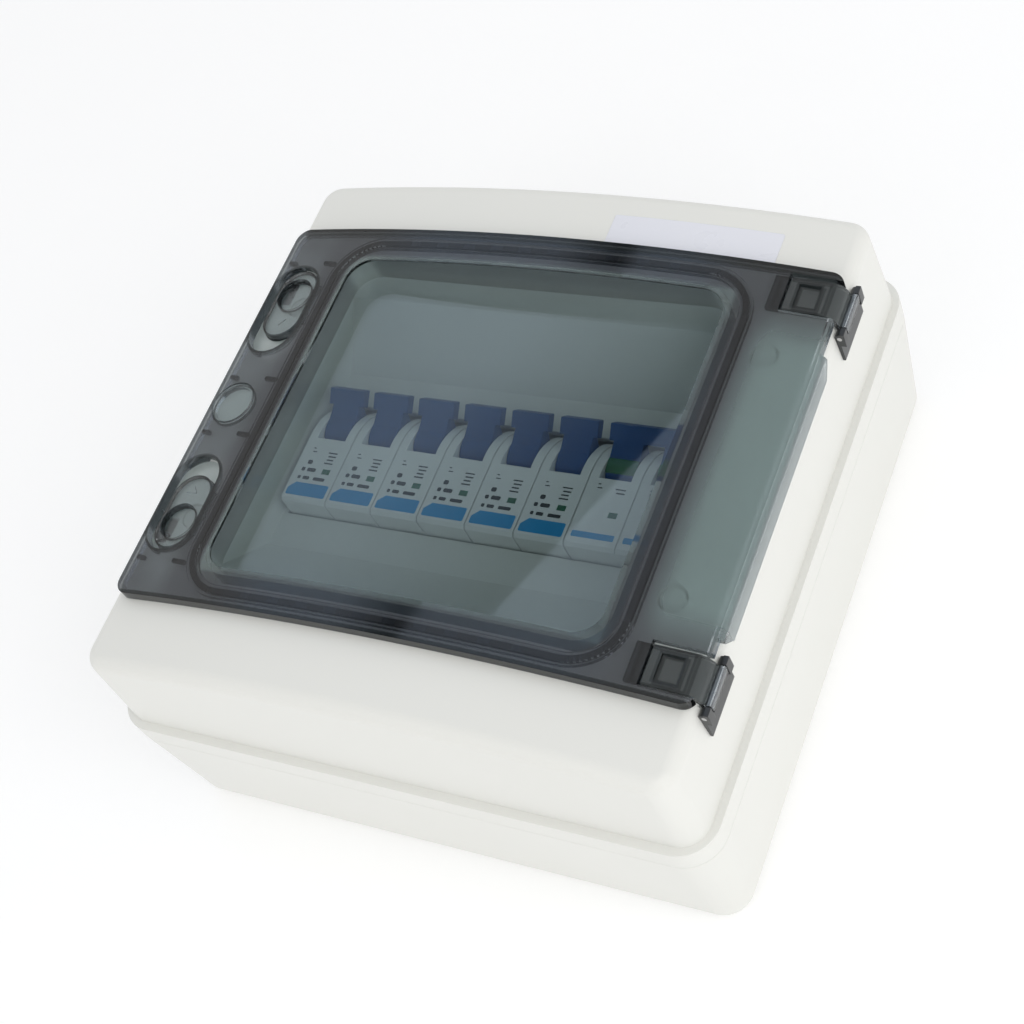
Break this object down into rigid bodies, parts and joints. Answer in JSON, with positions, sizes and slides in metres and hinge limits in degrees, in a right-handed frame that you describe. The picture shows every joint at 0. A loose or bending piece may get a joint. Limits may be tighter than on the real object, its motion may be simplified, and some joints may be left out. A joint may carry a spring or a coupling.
{
  "type": "dc combiner box",
  "caption": "Surface-mounted plastic combiner enclosure with a smoked hinged door, sliding latches and a rail of modular breakers with toggle handles.",
  "frame": {"origin": "centre of the flat back face", "axes": "+Z from the back face out through the door; +Y is up and +X is towards the latches when the box hangs on a wall, so the hinges are on -X"},
  "size_m": [0.217, 0.2132, 0.1034],
  "materials": {
    "housing_plastic": "fine-textured white moulded housing",
    "seal_rubber": "soft black seal",
    "zinc_steel": "zinc-plated steel",
    "label_film": "blank satin film",
    "brass": "machined",
    "copper": "bare copper strip",
    "blue_insulator": "moulded",
    "green_insulator": "moulded",
    "breaker_plastic": "light grey moulded case",
    "indicator_green": "green indicator",
    "dark_clip_plastic": "dark moulded clip",
    "handle_blue": "deep blue moulded handle",
    "smoked_plastic": "smoked transparent plastic"
  },
  "bodies": {
    "enclosure": {"rear_base": "housing_plastic", "cover_gasket": "seal_rubber", "front_cover": "housing_plastic", "cover_screws": "zinc_steel", "rating_label": "label_film", "din_rail": "zinc_steel", "rail_screws": "zinc_steel", "neutral_bar": "brass", "neutral_bar_holder": "blue_insulator", "earth_bar": "brass", "earth_bar_holder": "green_insulator", "bar_screws": "zinc_steel", "comb_busbar": "copper", "busbar_cover": "breaker_plastic", "main_breaker_case": "breaker_plastic", "indicator_windows": "indicator_green", "rail_clips": "dark_clip_plastic", "breaker_clamps": "zinc_steel", "terminal_screws": "zinc_steel", "handle_pins": "zinc_steel", "hinge_bracket_top": "dark_clip_plastic", "hinge_bracket_bottom": "dark_clip_plastic", "hinge_pin_top": "zinc_steel", "hinge_pin_bottom": "zinc_steel", "breaker_case_1": "breaker_plastic", "breaker_case_2": "breaker_plastic", "breaker_case_3": "breaker_plastic", "breaker_case_4": "breaker_plastic", "breaker_case_5": "breaker_plastic", "breaker_case_6": "breaker_plastic"},
    "door": {"door_shell": "smoked_plastic", "door_gasket": "seal_rubber", "hinge_arm_top": "smoked_plastic", "hinge_arm_bottom": "smoked_plastic"},
    "latch_top": {"latch_slider_top": "smoked_plastic", "latch_hook_top": "dark_clip_plastic"},
    "latch_bottom": {"latch_slider_bottom": "smoked_plastic", "latch_hook_bottom": "dark_clip_plastic"},
    "main_lever": {"main_handle": "handle_blue", "main_handle_flags": "indicator_green"},
    "lever_1": {"handle_1": "handle_blue"},
    "lever_2": {"handle_2": "handle_blue"},
    "lever_3": {"handle_3": "handle_blue"},
    "lever_4": {"handle_4": "handle_blue"},
    "lever_5": {"handle_5": "handle_blue"},
    "lever_6": {"handle_6": "handle_blue"}
  },
  "joints": [
    {"name": "door_hinge", "type": "hinge", "parent": "enclosure", "child": "door", "pos_m": [-0.1059, 0, 0.0888], "axis": [0, -1, 0], "range_deg": [0, 120]},
    {"name": "latch_top_slide", "type": "slide", "parent": "door", "child": "latch_top", "axis": [0, -1, 0], "range_m": [0, 0.006], "stiffness_N_per_m": 150, "springref_m": -0.003},
    {"name": "latch_bottom_slide", "type": "slide", "parent": "door", "child": "latch_bottom", "axis": [0, 1, 0], "range_m": [0, 0.006], "stiffness_N_per_m": 150, "springref_m": -0.003},
    {"name": "lever_1_toggle", "type": "hinge", "parent": "enclosure", "child": "lever_1", "pos_m": [0.063, -0.0105, 0.0675], "axis": [-1, 0, 0], "range_deg": [0, 70]},
    {"name": "lever_2_toggle", "type": "hinge", "parent": "enclosure", "child": "lever_2", "pos_m": [0.045, -0.0105, 0.0675], "axis": [-1, 0, 0], "range_deg": [0, 70]},
    {"name": "lever_3_toggle", "type": "hinge", "parent": "enclosure", "child": "lever_3", "pos_m": [0.027, -0.0105, 0.0675], "axis": [-1, 0, 0], "range_deg": [0, 70]},
    {"name": "lever_4_toggle", "type": "hinge", "parent": "enclosure", "child": "lever_4", "pos_m": [0.009, -0.0105, 0.0675], "axis": [-1, 0, 0], "range_deg": [0, 70]},
    {"name": "lever_5_toggle", "type": "hinge", "parent": "enclosure", "child": "lever_5", "pos_m": [-0.009, -0.0105, 0.0675], "axis": [-1, 0, 0], "range_deg": [0, 70]},
    {"name": "lever_6_toggle", "type": "hinge", "parent": "enclosure", "child": "lever_6", "pos_m": [-0.027, -0.0105, 0.0675], "axis": [-1, 0, 0], "range_deg": [0, 70]},
    {"name": "main_lever_toggle", "type": "hinge", "parent": "enclosure", "child": "main_lever", "pos_m": [-0.054, -0.0105, 0.0675], "axis": [-1, 0, 0], "range_deg": [0, 70]}
  ]
}
